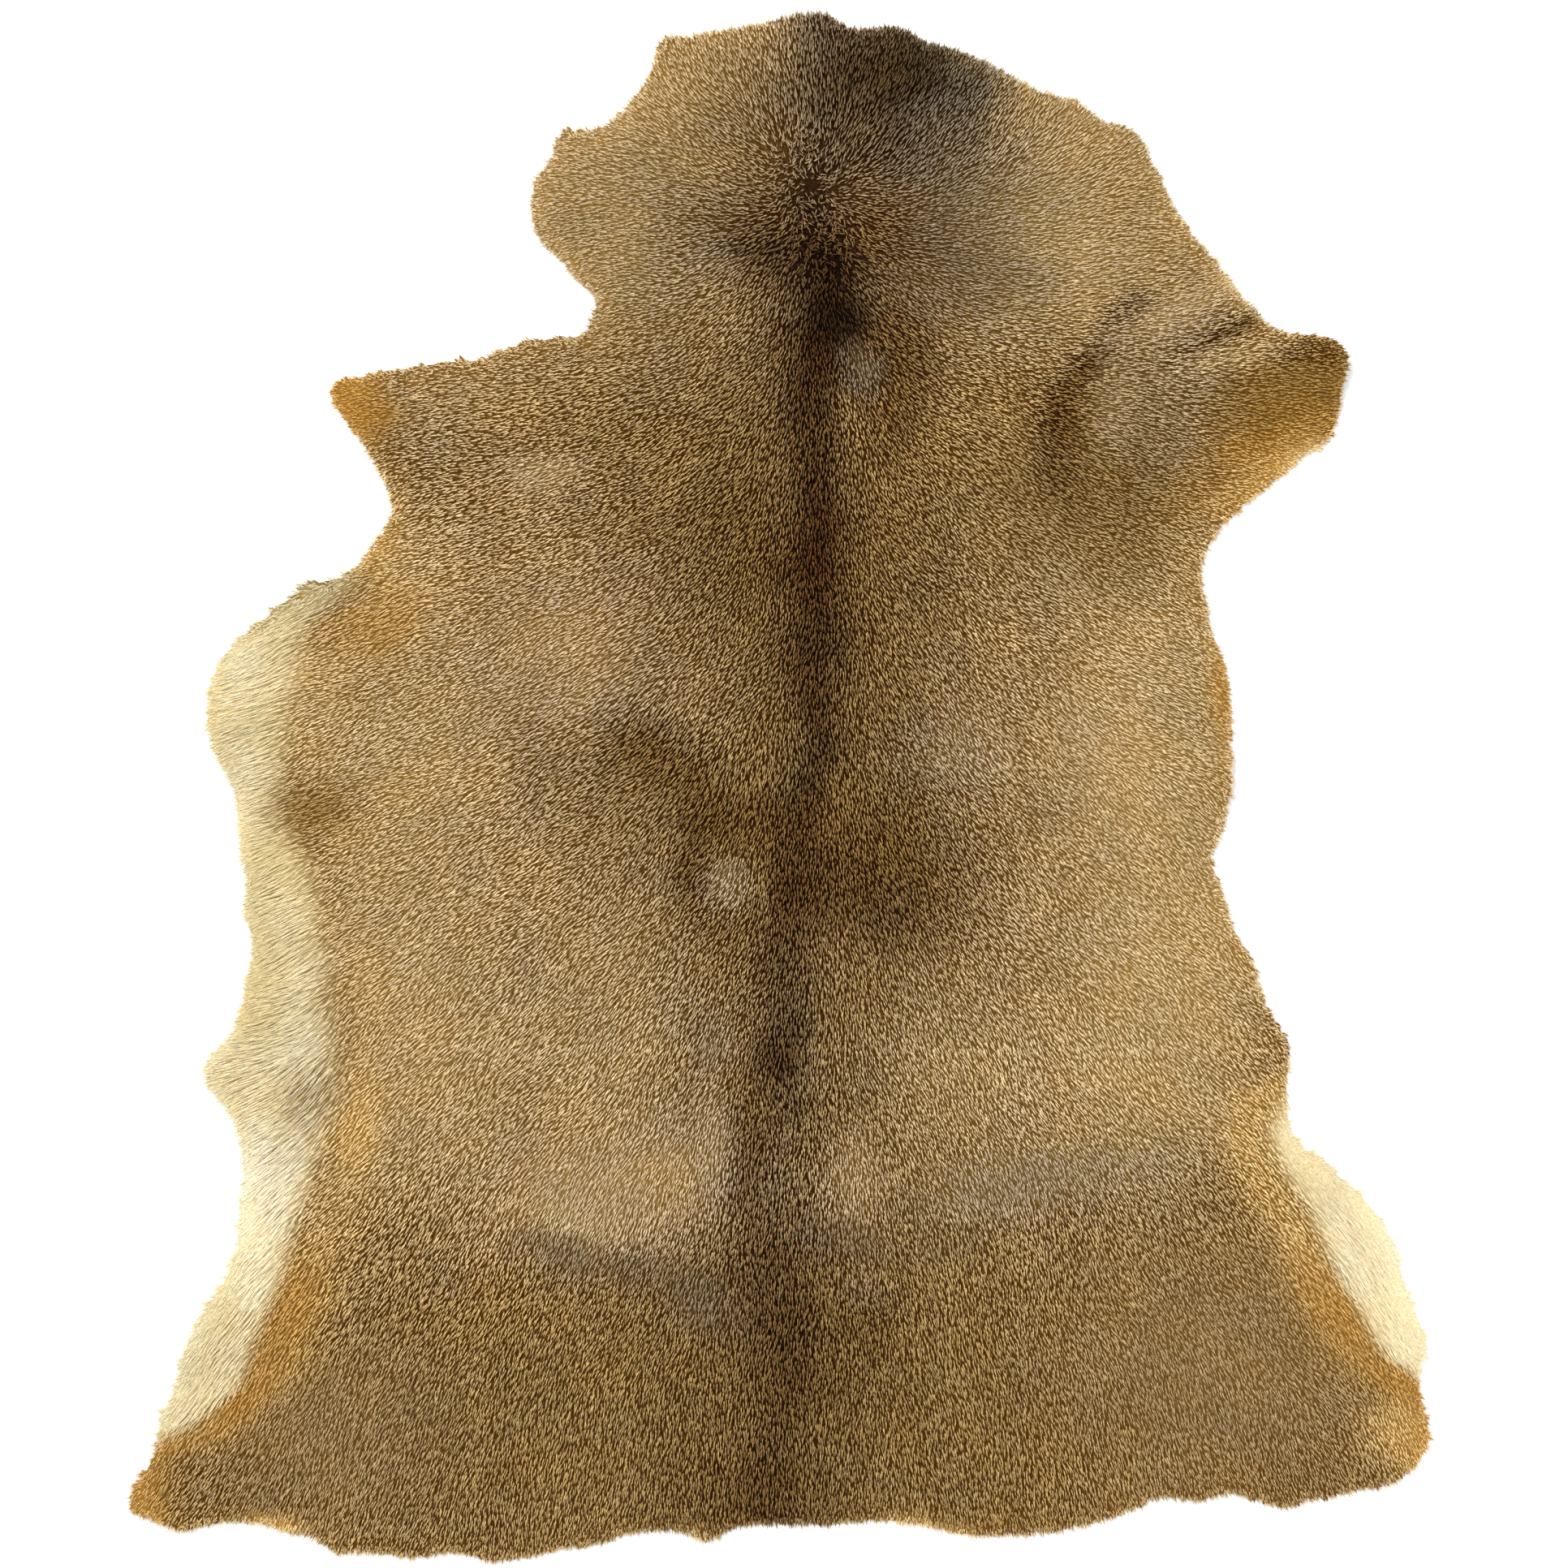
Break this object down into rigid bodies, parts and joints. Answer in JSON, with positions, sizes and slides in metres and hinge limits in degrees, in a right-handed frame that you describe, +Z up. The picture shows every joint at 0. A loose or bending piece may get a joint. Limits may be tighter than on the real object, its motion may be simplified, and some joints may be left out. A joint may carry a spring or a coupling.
{
  "type": "deerhide rug",
  "caption": "Single hair-on deerhide laid flat as a rug, hair side up, with an irregular cut rim and a few shallow ripples and curled edges.",
  "frame": {"origin": "on the floor under the middle of the hide's box", "axes": "+X across the hide, to the right when it is seen from above with the neck away from the viewer; +Y from rump to neck; +Z up, out of the hair side"},
  "size_m": [1.012, 1.2, 0.0202],
  "materials": {
    "hair_on_hide": "short lying deer hair, warm brown with pale tips, over suede-like tanned skin"
  },
  "bodies": {
    "root": {"hide": "hair_on_hide"}
  },
  "joints": []
}
